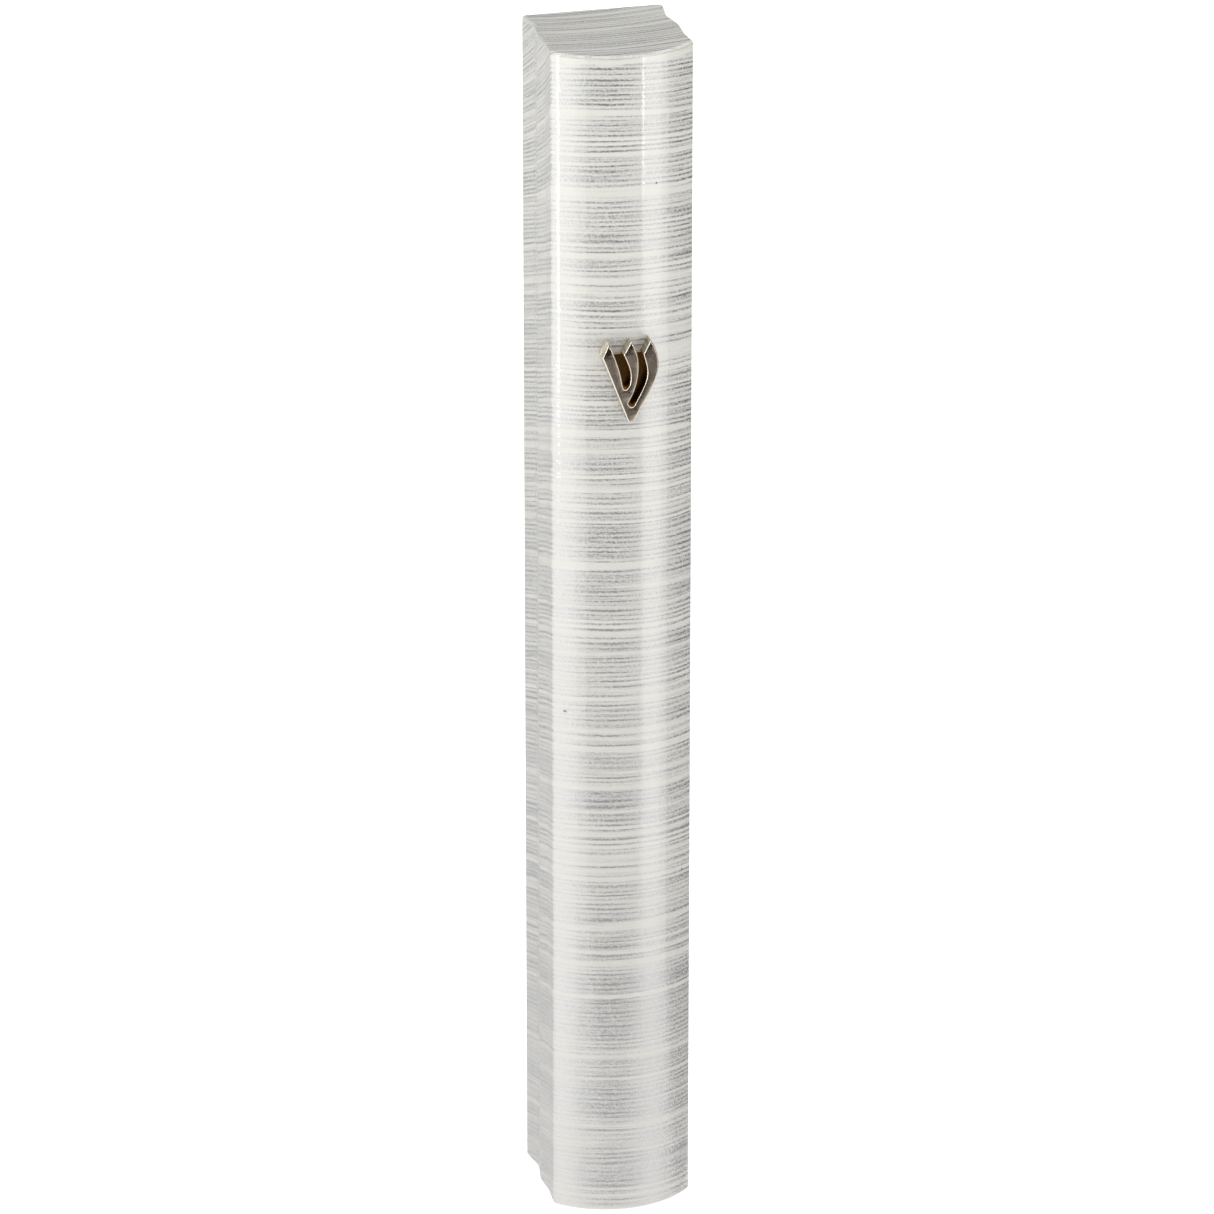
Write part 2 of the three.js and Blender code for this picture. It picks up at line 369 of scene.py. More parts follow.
filmLook = {
    "cream": "c7c6bf", "silver": "a2a2a4", "lowerGrey": "b3b1ab", "bare": "dddbd4",
    "speck": "4a3a30", "fold": "8d6f55",
    "threadsPerMm": 1.6, "threadSharpness": 2.4, "threadInk": 0.72,
    "jitterPerMm": 0.7, "jitter": 0.7, "strengthPerMm": 1.2,
    "fineLinesPerMm": 5.0, "fineInk": 0.35,
    "clustersPerMm": 0.36, "hazeInk": (0.38, 0.12), "gapsPerMm": 1.4, "gapInk": 0.1, "dotsPerMm": 4.4,
    "specksPerMm": 0.042, "inkMetal": 0.85, "inkRoughness": 0.38, "groundRoughness": 0.5,
    "swayPerMm": 0.1, "sway": 0.45, "lowHaze": 0.4, "raggedPerMm": 0.35,
    "peelPerMm": 1.3, "inkRelief": 0.12, "coatBump": 0.12, "coatBumpDepth": 0.1 * mm,
    "sideSlope": (0.23, 0.42), "topSlope": 0.3, "topStretch": 1.3,
    "frontDroop": (0.0024, 0.0089), "frontDroopX": -2.0,
    "topDroop": 0.0135, "topDroopX": -1.5,
}


def printedFilm():
    # water-transfer film on moulded ABS under clear lacquer: silver ink lines on cream that turn
    # bright in a highlight and dark beside it, with a hard wet gloss over all
    look = filmLook
    material, tree = newMaterial("waterTransferFilmOnAbs")
    place = addNode(tree, "ShaderNodeTexCoord")["Object"]
    placeMm = addNode(tree, "ShaderNodeVectorMath", {0: place, "Scale": 1 / mm}, operation="SCALE")[0]
    x, y, z = addNode(tree, "ShaderNodeSeparateXYZ", {0: placeMm})
    rise = addNode(tree, "ShaderNodeMapRange", {
        "Value": z, "From Min": caseLow.z / mm, "From Max": caseHigh.z / mm})[0]
    nearTop = addNode(tree, "ShaderNodeMapRange", {
        "Value": rise, "From Min": 0.8, "From Max": 1.0}, interpolation_type="SMOOTHSTEP")[0]
    onTop = addNode(tree, "ShaderNodeMapRange", {
        "Value": z, "From Min": caseHigh.z / mm - 0.45, "From Max": caseHigh.z / mm - 0.05},
        interpolation_type="SMOOTHSTEP")[0]

    # how far the film is dragged down the sides, and how it bows over the front and the top
    behind = calc(tree, "SUBTRACT", y, frontEdgeY / mm)
    behindEdge = calc(tree, "MAXIMUM", behind, 0.0)
    overTop = calc(tree, "MULTIPLY", behind, look["topStretch"])
    depth = addNode(tree, "ShaderNodeMix", {"Factor": onTop, "A": behindEdge, "B": overTop})[0]
    slope = addNode(tree, "ShaderNodeMapRange", {
        "Value": rise, "To Min": look["sideSlope"][0], "To Max": look["sideSlope"][1]})[0]
    slopeUp = calc(tree, "MULTIPLY_ADD", nearTop, look["topSlope"], slope)
    drag = calc(tree, "MULTIPLY", depth, slopeUp)
    acrossFront = calc(tree, "SUBTRACT", x, look["frontDroopX"])
    frontSquare = calc(tree, "POWER", acrossFront, 2.0)
    droopShare = addNode(tree, "ShaderNodeMapRange", {
        "Value": rise, "To Min": look["frontDroop"][0], "To Max": look["frontDroop"][1]})[0]
    frontBow = calc(tree, "MULTIPLY", frontSquare, droopShare)
    acrossTop = calc(tree, "SUBTRACT", x, look["topDroopX"])
    topSquare = calc(tree, "POWER", acrossTop, 2.0)
    edgeX = halfWidth / mm
    topStart = (look["frontDroop"][1] * (edgeX + look["frontDroopX"]) ** 2
                + look["topDroop"] * (edgeX + look["topDroopX"]) ** 2)
    topBow = calc(tree, "MULTIPLY_ADD", topSquare, -look["topDroop"], topStart)
    bow = addNode(tree, "ShaderNodeMix", {"Factor": onTop, "A": frontBow, "B": topBow})[0]
    flow = calc(tree, "ADD", z, drag)
    flowBowed = calc(tree, "ADD", flow, bow)
    sway = addNode(tree, "ShaderNodeTexNoise", {
        "Vector": placeMm, "Scale": look["swayPerMm"], "Detail": 2.0})[0]
    height = calc(tree, "MULTIPLY_ADD", sway, look["sway"], flowBowed)

    # noise that is long along the line and short across it
    def bandNoise(perMm, along, detail=0.0):
        acrossLine = calc(tree, "MULTIPLY", height, perMm)
        alongX = calc(tree, "MULTIPLY", x, along)
        alongY = calc(tree, "MULTIPLY", y, along)
        vector = addNode(tree, "ShaderNodeCombineXYZ", {0: alongX, 1: alongY, 2: acrossLine})[0]
        return addNode(tree, "ShaderNodeTexNoise", {
            "Vector": vector, "Scale": 1.0, "Detail": detail, "Roughness": 0.5})[0]

    # drawn threads: a wave at the thread pitch, pushed about so that no two gaps are alike
    jitter = bandNoise(look["jitterPerMm"], 0.02)
    turnsUp = calc(tree, "MULTIPLY", height, look["threadsPerMm"])
    turns = calc(tree, "MULTIPLY_ADD", jitter, look["jitter"], turnsUp)
    angle = calc(tree, "MULTIPLY", turns, math.tau)
    swing = calc(tree, "SINE", angle)
    wave = addNode(tree, "ShaderNodeMapRange", {"Value": swing, "From Min": -1.0, "From Max": 1.0})[0]
    thread = calc(tree, "POWER", wave, look["threadSharpness"])
    eachThread = bandNoise(look["strengthPerMm"], 0.06)
    strength = addNode(tree, "ShaderNodeMapRange", {
        "Value": eachThread, "From Min": 0.36, "From Max": 0.64, "To Min": 0.38, "To Max": 1.0})[0]
    threads = calc(tree, "MULTIPLY", thread, strength)

    fineNoise = bandNoise(look["fineLinesPerMm"], 0.1)
    fineInk = addNode(tree, "ShaderNodeMapRange", {
        "Value": fineNoise, "From Min": 0.48, "From Max": 0.72, "To Max": look["fineInk"]})[0]
    clusterNoise = bandNoise(look["clustersPerMm"], 0.02, 1.0)
    hazeTop = addNode(tree, "ShaderNodeMapRange", {
        "Value": rise, "To Min": look["hazeInk"][0], "To Max": look["hazeInk"][1]})[0]
    hazeLow = calc(tree, "MULTIPLY", hazeTop, look["lowHaze"])
    haze = addNode(tree, "ShaderNodeMapRange", {
        "Value": clusterNoise, "From Min": 0.38, "From Max": 0.62, "To Min": hazeLow, "To Max": hazeTop})[0]
    gapNoise = bandNoise(look["gapsPerMm"], 0.015)
    gaps = addNode(tree, "ShaderNodeMapRange", {
        "Value": gapNoise, "From Min": 0.6, "From Max": 0.66, "To Min": 1.0, "To Max": look["gapInk"]})[0]
    halftone = addNode(tree, "ShaderNodeTexNoise", {
        "Vector": placeMm, "Scale": look["dotsPerMm"], "Detail": 0.0})[0]
    dots = addNode(tree, "ShaderNodeMapRange", {
        "Value": halftone, "From Min": 0.3, "From Max": 0.7, "To Min": 0.5, "To Max": 1.5})[0]
    allLines = addNode(tree, "ShaderNodeMath", {0: threads, 1: look["threadInk"], 2: fineInk},
                       operation="MULTIPLY_ADD")[0]
    withHaze = calc(tree, "ADD", allLines, haze)
    broken = calc(tree, "MULTIPLY", withHaze, gaps)
    dotted = calc(tree, "MULTIPLY", broken, dots)

    # the film thins to a plain cream lip just under the front top edge
    ragged = addNode(tree, "ShaderNodeTexNoise", {
        "Vector": placeMm, "Scale": look["raggedPerMm"], "Detail": 2.0})[0]
    lipHeight = calc(tree, "MULTIPLY_ADD", ragged, 1.1, z)
    lip = addNode(tree, "ShaderNodeMapRange", {
        "Value": lipHeight, "From Min": caseHigh.z / mm - 0.75, "From Max": caseHigh.z / mm - 0.45})[0]
    inFront = calc(tree, "LESS_THAN", behind, 0.1)
    notTop = calc(tree, "SUBTRACT", 1.0, onTop)
    lipFront = calc(tree, "MULTIPLY", lip, inFront)
    lipOnly = calc(tree, "MULTIPLY", lipFront, notTop)
    keepInk = addNode(tree, "ShaderNodeMapRange", {"Value": lipOnly, "To Min": 1.0, "To Max": 0.1})[0]
    ink = addNode(tree, "ShaderNodeMath", {0: dotted, 1: keepInk}, operation="MULTIPLY", use_clamp=True)[0]

    # on the back the film ends raggedly just in from the edges and bare white plastic shows
    fromSide = calc(tree, "ABSOLUTE", x)
    fromEnd = calc(tree, "ABSOLUTE", z)
    sideGap = calc(tree, "SUBTRACT", halfWidth / mm, fromSide)
    endGap = calc(tree, "SUBTRACT", halfHeight / mm, fromEnd)
    edgeGap = calc(tree, "MINIMUM", sideGap, endGap)
    raggedGap = calc(tree, "MULTIPLY_ADD", ragged, -2.2, edgeGap)
    inside = addNode(tree, "ShaderNodeMapRange", {
        "Value": raggedGap, "From Min": 0.5, "From Max": 0.9})[0]
    onBack = addNode(tree, "ShaderNodeMapRange", {
        "Value": y, "From Min": backY / mm - 0.12, "From Max": backY / mm - 0.02})[0]
    bareBack = calc(tree, "MULTIPLY", inside, onBack)
    fromAxis = addNode(tree, "ShaderNodeVectorMath", {
        0: placeMm, 1: (0, chamberY / mm, 0)}, operation="SUBTRACT")[0]
    level = addNode(tree, "ShaderNodeVectorMath", {0: fromAxis, 1: (1, 1, 0)}, operation="MULTIPLY")[0]
    radius = addNode(tree, "ShaderNodeVectorMath", {0: level}, operation="LENGTH")["Value"]
    inBore = calc(tree, "LESS_THAN", radius, (caseShape["chamberRadius"] + 0.3 * mm) / mm)
    belowTop = calc(tree, "LESS_THAN", z, caseHigh.z / mm - 0.2)
    boreWall = calc(tree, "MULTIPLY", inBore, belowTop)
    bare = calc(tree, "MAXIMUM", bareBack, boreWall)
    filmed = calc(tree, "SUBTRACT", 1.0, bare)
    inkLeft = calc(tree, "MULTIPLY", ink, filmed)

    # a few dust specks under the lacquer, and a thin brown line where the film folds over the top
    flat = calc(tree, "MULTIPLY_ADD", y, 0.3, x)
    flatPlace = addNode(tree, "ShaderNodeCombineXYZ", {0: flat, 1: z})[0]
    speckGap = addNode(tree, "ShaderNodeTexVoronoi", {
        "Vector": flatPlace, "Scale": look["specksPerMm"]}, voronoi_dimensions="2D")["Distance"]
    speck = addNode(tree, "ShaderNodeMapRange", {
        "Value": speckGap, "From Min": 0.004, "From Max": 0.008, "To Min": 0.85, "To Max": 0.0})[0]
    fold = addNode(tree, "ShaderNodeMapRange", {
        "Value": onTop, "From Min": 0.0, "From Max": 0.25, "To Min": 0.0, "To Max": 1.0})[0]
    foldEnd = addNode(tree, "ShaderNodeMapRange", {
        "Value": onTop, "From Min": 0.3, "From Max": 0.6, "To Min": 1.0, "To Max": 0.0})[0]
    foldLine = calc(tree, "MULTIPLY", fold, foldEnd)
    foldFront = calc(tree, "MULTIPLY", foldLine, inFront)
    patchyFold = addNode(tree, "ShaderNodeMapRange", {
        "Value": ragged, "From Min": 0.4, "From Max": 0.6, "To Min": 0.1, "To Max": 0.65})[0]
    brown = calc(tree, "MULTIPLY", foldFront, patchyFold)

    ground = addNode(tree, "ShaderNodeMix", {
        "Factor": rise, "A": linear(look["lowerGrey"]), "B": linear(look["cream"])},
        data_type="RGBA")["Result"]
    printed = addNode(tree, "ShaderNodeMix", {
        "Factor": inkLeft, "A": ground, "B": linear(look["silver"])}, data_type="RGBA")["Result"]
    browned = addNode(tree, "ShaderNodeMix", {
        "Factor": brown, "A": printed, "B": linear(look["fold"])}, data_type="RGBA")["Result"]
    specked = addNode(tree, "ShaderNodeMix", {
        "Factor": speck, "A": browned, "B": linear(look["speck"])}, data_type="RGBA")["Result"]
    colour = addNode(tree, "ShaderNodeMix", {
        "Factor": bare, "A": specked, "B": linear(look["bare"])}, data_type="RGBA")["Result"]
    metal = calc(tree, "MULTIPLY", inkLeft, look["inkMetal"])
    roughness = addNode(tree, "ShaderNodeMapRange", {
        "Value": inkLeft, "To Min": look["groundRoughness"], "To Max": look["inkRoughness"]})[0]
    peel = addNode(tree, "ShaderNodeTexNoise", {
        "Vector": placeMm, "Scale": look["peelPerMm"], "Detail": 3.0})[0]
    overInk = calc(tree, "MULTIPLY_ADD", dotted, look["inkRelief"], peel)
    lacquer = addNode(tree, "ShaderNodeBump", {
        "Strength": look["coatBump"], "Distance": look["coatBumpDepth"], "Height": overInk})[0]
    shader = addNode(tree, "ShaderNodeBsdfPrincipled", {
        "Base Color": colour, "Metallic": metal, "Roughness": roughness,
        "Coat Weight": filmed, "Coat Roughness": 0.06, "Coat IOR": 1.5, "Coat Normal": lacquer})
    addNode(tree, "ShaderNodeOutputMaterial", {"Surface": shader[0]})
    return material


def buildCase():
    shape = caseShape
    rise = shape["crownRise"]
    crownRadius = (halfWidth ** 2 + rise ** 2) / (2 * rise)
    bpy.ops.mesh.primitive_cylinder_add(
        vertices=shape["crownSides"], radius=crownRadius, depth=2 * (halfHeight - shape["endRounding"]),
        location=(0, crestY + crownRadius, 0))
    case = takePrimitive("printed_case")
    bisectAt(case, (0, frontEdgeY, 0), (0, 1, 0), clear_outer=True, use_fill=True)

    # the flat sides, pulled back from the bowed front station by station
    grooveY = frontEdgeY + shape["frontGrooveFromFrontEdge"]
    rearGrooveY = backY - shape["rearGrooveFromBack"]
    stations = [
        (grooveY, halfWidth - shape["frontGrooveDepth"]),
        ((grooveY + rearGrooveY) / 2, halfWidth),
        (rearGrooveY, halfWidth - shape["rearGrooveDepth"]),
        (backY, halfWidth),
    ]
    pick(case, "FACE", lambda middle, normal: normal.y > 0.9)
    lastY, lastWidth = frontEdgeY, halfWidth
    for y, width in stations:
        extrudeFace((0, y - lastY, 0), (width / lastWidth, 1, 1), (0, y, 0))
        lastY, lastWidth = y, width
    bpy.ops.object.mode_set(mode="OBJECT")
    facesOut(case)
    makeActive(case)
    bpy.ops.object.mode_set(mode="EDIT")
    bpy.ops.mesh.select_all(action="SELECT")
    bpy.ops.mesh.dissolve_limited(angle_limit=math.radians(0.2))

    def uprightAt(y):
        return lambda middle, way: (
            abs(way.z) > 0.99 and abs(middle.y - y) < 0.05 * mm and abs(middle.x) > 0.9 * halfWidth)

    pick(case, "EDGE", uprightAt(frontEdgeY))
    roundOff(shape["frontEdgeRounding"], 5)
    pick(case, "EDGE", uprightAt(backY))
    roundOff(shape["backEdgeRounding"], 6)
    for y, _ in stations[:3]:
        pick(case, "EDGE", uprightAt(y))
        roundOff(shape["grooveSoftening"], 3)
    bpy.ops.object.mode_set(mode="OBJECT")
    facesOut(case)
    for side in (1, -1):
        pick(case, "FACE", lambda middle, normal: normal.z * side > 0.99)
        roundedCap(side, shape["endRounding"], shape["endSteps"],
                   (halfWidth, (backY - crestY) / 2), (0, (backY + crestY) / 2, 0))
        bpy.ops.object.mode_set(mode="OBJECT")
    facesOut(case)

    bore, lip = shape["chamberRadius"], shape["endRounding"]
    below = caseLow.z - 1 * mm
    borer = turnedPiece("borer", [
        (bore + lip, below), (bore + lip, caseLow.z), (bore + 0.3 * lip, caseLow.z + 0.3 * lip),
        (bore, caseLow.z + lip), (bore, caseHigh.z - shape["skinOverPlug"]),
    ], y=chamberY, sides=128)
    combine(case, borer, "DIFFERENCE")

    # blind holes in the front wall for the letter's two pins
    half = emblemShape["height"] / 2
    for across, height in emblemShape["pins"]:
        bpy.ops.mesh.primitive_cylinder_add(
            vertices=40, radius=shape["pinHoleRadius"], depth=2 * shape["pinHoleDepth"],
            rotation=(math.pi / 2, 0, 0), location=(across * half, crestY, emblemZ + height * half))
        combine(case, takePrimitive("pinDrill"), "DIFFERENCE")
    return case


# top plug

plugShape = {"glueGroove": 0.2 * mm, "grooveWidth": 0.5 * mm, "chamfer": 0.4 * mm, "grooves": 2}


def mouldedAbs():
    # white ABS straight from the mould: a faint grain and a soft, slightly uneven shine
    material, tree = newMaterial("mouldedWhiteAbs")
    place = addNode(tree, "ShaderNodeTexCoord")["Object"]
    cloud = addNode(tree, "ShaderNodeTexNoise", {"Vector": place, "Scale": 0.12 / mm, "Detail": 3.0})[0]
    grain = addNode(tree, "ShaderNodeTexNoise", {"Vector": place, "Scale": 3 / mm, "Detail": 1.0})[0]
    colour = addNode(tree, "ShaderNodeMix", {
        "Factor": cloud, "A": linear("e6e3dc"), "B": linear("f2f0ea")}, data_type="RGBA")["Result"]
    shine = addNode(tree, "ShaderNodeMapRange", {"Value": cloud, "To Min": 0.34, "To Max": 0.48})[0]
    relief = addNode(tree, "ShaderNodeBump", {"Strength": 0.3, "Distance": 0.01 * mm, "Height": grain})[0]
    shader = addNode(tree, "ShaderNodeBsdfPrincipled", {
        "Base Color": colour, "Roughness": shine, "Normal": relief})
    addNode(tree, "ShaderNodeOutputMaterial", {"Surface": shader[0]})
    return material


def buildPlug():
    shape = plugShape
    radius = plugHigh.x
    top = plugHigh.z - caseShape["skinOverPlug"] - 0.05 * mm
    profile = [(radius - shape["chamfer"], plugLow.z), (radius, plugLow.z + shape["chamfer"])]
    spacing = (top - plugLow.z) / (shape["grooves"] + 1)
    for number in range(shape["grooves"]):
        middle = plugLow.z + spacing * (number + 1)
        depth, half = shape["glueGroove"], shape["grooveWidth"] / 2
        profile += [(radius, middle - half - depth), (radius - depth, middle - half),
                    (radius - depth, middle + half), (radius, middle + half + depth)]
    profile += [(radius, top - shape["chamfer"] / 2), (radius - shape["chamfer"] / 2, top)]
    return turnedPiece("glued_top_plug", profile, y=chamberY)


# stopper

stopperShape = {
    "ribs": 3, "ribHeight": 0.35 * mm, "ribHalfWidth": 0.7 * mm, "ribSteps": 8,
    "wall": 1.5 * mm, "recess": 3.4 * mm, "gripWidth": 5 * mm, "gripThickness": 1.4 * mm,
    "gripRounding": 0.35 * mm, "softEdge": 0.3 * mm,
}


def mouldedSilicone():
    # dark moulded silicone: matt, a touch waxy, with fine dust caught on its ribs
    material, tree = newMaterial("mouldedSiliconeRubber")
    place = addNode(tree, "ShaderNodeTexCoord")["Object"]
    grain = addNode(tree, "ShaderNodeTexNoise", {"Vector": place, "Scale": 5 / mm, "Detail": 2.0})[0]
    dust = addNode(tree, "ShaderNodeTexNoise", {"Vector": place, "Scale": 0.9 / mm, "Detail": 6.0})[0]
    dusty = addNode(tree, "ShaderNodeMapRange", {
        "Value": dust, "From Min": 0.5, "From Max": 0.8, "To Max": 0.35})[0]
    colour = addNode(tree, "ShaderNodeMix", {
        "Factor": dusty, "A": linear("242427"), "B": linear("55534f")}, data_type="RGBA")["Result"]
    shine = addNode(tree, "ShaderNodeMapRange", {"Value": dust, "To Min": 0.5, "To Max": 0.72})[0]
    relief = addNode(tree, "ShaderNodeBump", {"Strength": 0.4, "Distance": 0.02 * mm, "Height": grain})[0]
    shader = addNode(tree, "ShaderNodeBsdfPrincipled", {
        "Base Color": colour, "Roughness": shine, "Normal": relief, "Sheen Weight": 0.12})
    addNode(tree, "ShaderNodeOutputMaterial", {"Surface": shader[0]})
    return material


def buildStopper():
    shape = stopperShape
    low, high, soft = stopperLow.z, stopperHigh.z, shape["softEdge"]
    rib = stopperHigh.x
    core = rib - shape["ribHeight"]
    profile = [(core - soft, low), (core - 0.3 * soft, low + 0.3 * soft), (core, low + soft)]
    pitch = (high - low) / (shape["ribs"] + 1)
    for number in range(shape["ribs"]):
        middle = low + pitch * (number + 1)
        for step in range(shape["ribSteps"] + 1):
            across = 2 * step / shape["ribSteps"] - 1
            swell = shape["ribHeight"] * math.cos(across * math.pi / 2)
            profile.append((core + swell, middle + across * shape["ribHalfWidth"]))
    profile += [(core, high - soft), (core - 0.3 * soft, high - 0.3 * soft), (core - soft, high)]
    stopper = turnedPiece("ribbed_stopper", profile, y=chamberY)
    inner, ceiling = rib - shape["wall"], low + shape["recess"]
    hollow = turnedPiece("hollow", [
        (inner + soft, low - 1 * mm), (inner + soft, low), (inner + 0.3 * soft, low + 0.3 * soft),
        (inner, low + soft), (inner, ceiling - soft), (inner - 0.3 * soft, ceiling - 0.3 * soft),
        (inner - soft, ceiling)], y=chamberY)
    combine(stopper, hollow, "DIFFERENCE")
    halfGrip, halfThick = shape["gripWidth"] / 2, shape["gripThickness"] / 2
    grip = block("grip", (-halfGrip, chamberY - halfThick, low + 0.02 * mm),
                 (halfGrip, chamberY + halfThick, ceiling + 1 * mm))
    pick(grip, "EDGE", lambda middle, way: middle.z < ceiling + 0.5 * mm)
    roundOff(shape["gripRounding"], 4)
    bpy.ops.object.mode_set(mode="OBJECT")
    combine(stopper, grip, "UNION")
    return stopper


# rolled parchment and its clear wrap

rollShape = {
    "length": 120 * mm, "pitch": 0.42 * mm, "thickness": 0.3 * mm,
    "wrapTurns": 1.25, "wrapPitch": 0.24 * mm, "wrapThickness": 0.16 * mm,
    "stepsPerTurn": 72, "endSlack": 0.06 * mm,
}


def parchment():
    # scraped and limed skin: creamy tan, cloudy, with fine follicle pits and a dry matt face
    material, tree = newMaterial("scrapedParchmentSkin")
    place = addNode(tree, "ShaderNodeTexCoord")["Object"]
    cloud = addNode(tree, "ShaderNodeTexNoise", {"Vector": place, "Scale": 0.11 / mm, "Detail": 5.0})[0]
    pits = addNode(tree, "ShaderNodeTexVoronoi", {"Vector": place, "Scale": 1.6 / mm})["Distance"]
    fibres = addNode(tree, "ShaderNodeTexNoise", {"Vector": place, "Scale": 2.2 / mm, "Detail": 4.0})[0]
    patchy = addNode(tree, "ShaderNodeMapRange", {
        "Value": cloud, "From Min": 0.35, "From Max": 0.65})[0]
    skin = addNode(tree, "ShaderNodeMix", {
        "Factor": patchy, "A": linear("d6c194"), "B": linear("eadcb9")}, data_type="RGBA")["Result"]
    pitDepth = addNode(tree, "ShaderNodeMapRange", {
        "Value": pits, "From Min": 0.05, "From Max": 0.25, "To Min": 0.25, "To Max": 0.0})[0]
    colour = addNode(tree, "ShaderNodeMix", {
        "Factor": pitDepth, "A": skin, "B": linear("b39a6c")}, data_type="RGBA")["Result"]
    height = calc(tree, "SUBTRACT", fibres, pitDepth)
    relief = addNode(tree, "ShaderNodeBump", {"Strength": 0.5, "Distance": 0.04 * mm, "Height": height})[0]
    shader = addNode(tree, "ShaderNodeBsdfPrincipled", {
        "Base Color": colour, "Roughness": 0.68, "Normal": relief})
    addNode(tree, "ShaderNodeOutputMaterial", {"Surface": shader[0]})
    return material


def clearFilm():
    # blown polypropylene sheet: clear and glossy, with handling creases that catch the light
    material, tree = newMaterial("clearPolypropyleneFilm")
    place = addNode(tree, "ShaderNodeTexCoord")["Object"]
    creases = addNode(tree, "ShaderNodeTexNoise", {
        "Vector": place, "Scale": 0.25 / mm, "Detail": 3.0, "Distortion": 0.6})[0]
    relief = addNode(tree, "ShaderNodeBump", {"Strength": 0.35, "Distance": 0.08 * mm, "Height": creases})[0]
    shader = addNode(tree, "ShaderNodeBsdfPrincipled", {
        "Base Color": linear("f4f8fa"), "Roughness": 0.05, "IOR": 1.49,
        "Transmission Weight": 1.0, "Normal": relief})
    addNode(tree, "ShaderNodeOutputMaterial", {"Surface": shader[0]})
    return material


def rolledSheet(name, outerRadius, turns, pitch, thickness, low, high):
    # an upright edge is extruded along a spiral about the chamber's axis, then thickened
    steps = math.ceil(turns * rollShape["stepsPerTurn"])

    def spiralPoint(step):
        angle = 2 * math.pi * turns * step / steps
        radius = outerRadius - thickness / 2 - pitch * angle / (2 * math.pi)
        return Vector((radius * math.cos(angle), chamberY - radius * math.sin(angle), 0))

    bpy.ops.mesh.primitive_plane_add(size=1, rotation=(math.pi / 2, 0, 0))
    sheet = takePrimitive(name, (1, high - low, 1))
    pick(sheet, "VERT", lambda corner, normal: corner.x > 0)
    bpy.ops.mesh.delete(type="VERT")
    bpy.ops.mesh.select_all(action="SELECT")
    start = spiralPoint(0) + Vector((0.5, 0, (low + high) / 2))
    bpy.ops.transform.translate(value=start)
    for step in range(steps):
        move = spiralPoint(step + 1) - spiralPoint(step)
        bpy.ops.mesh.extrude_region_move(TRANSFORM_OT_translate={"value": move})
    bpy.ops.object.mode_set(mode="OBJECT")
    finishWith(sheet, "SOLIDIFY", thickness=thickness, offset=0)
    facesOut(sheet)
    return sheet


def buildParchment():
    shape = rollShape
    outer = scrollHigh.x
    core = math.sqrt(outer ** 2 - shape["pitch"] * shape["length"] / math.pi)
    turns = (outer - core) / shape["pitch"]
    return rolledSheet("rolled_parchment", outer, turns, shape["pitch"], shape["thickness"],
                       scrollLow.z, scrollHigh.z)


def buildWrap():
    shape = rollShape
    outer = wrapHigh.x
    return rolledSheet("clear_wrap", outer, shape["wrapTurns"], shape["wrapPitch"],
                       shape["wrapThickness"], wrapLow.z + shape["endSlack"], wrapHigh.z)


# cast letter

# the letter shin in half heights about its middle: a line, a quadratic or a cubic to each end point
letterStart = (-0.56, 0.99)
letterPath = [
    (-0.725, 0.66),
    (-0.12, -0.95),
    (-0.05, -1.04, 0.04, -0.96),
    (0.215, -0.47, 0.955, 0.18, 0.43, 1.0),
    (0.25, 0.665),
    (0.39, 0.16, 0.41, 0.11, 0.057, -0.54),
    (-0.015, -0.7, -0.108, -0.51),
    (0.16, -0.086, 0.262, 0.542, -0.033, 1.0),
    (-0.22, 0.695),
    (-0.108, 0.41, -0.01, 0.25, -0.073, -0.057),
    (-0.17, -0.26, -0.23, -0.1),
    (-0.28, 0.133, -0.26, 0.275, -0.56, 0.99),
]
# each head is faceted beyond a line from its lower corner to its right side
headFolds = [
    ((-0.725, 0.66), (-0.48, 0.745)),
    ((-0.22, 0.695), (0.039, 0.867)),
    ((0.25, 0.665), (0.49, 0.90)),
]
emblemShape = {
    "height": 10.2 * mm, "thickness": 1.6 * mm, "rim": 0.17 * mm, "pinRadius": 0.5 * mm,
    "pinLength": 1.6 * mm, "pins": [(-0.42, 0.25), (-0.03, -0.76)], "glueLine": 0.05 * mm,
    "facetSlope": math.tan(math.radians(9)), "webBelowFace": 1.05 * mm,
    "slotReach": 1.5 * mm, "slotFade": 0.5 * mm, "backSpare": 1.8 * mm, "webThickness": 2 * mm,
    "headReach": 0.62, "pinRoot": 0.8 * mm, "pinRounding": 0.12 * mm,
    "web": [(-0.5, 0.66), (0.4, 0.66), (0.45, 0.4), (0.3, 0.0), (0.06, -0.62), (-0.12, -0.62),
            (-0.35, 0.0), (-0.5, 0.5)],
}
emblemZ = caseHigh.z - 40 * mm


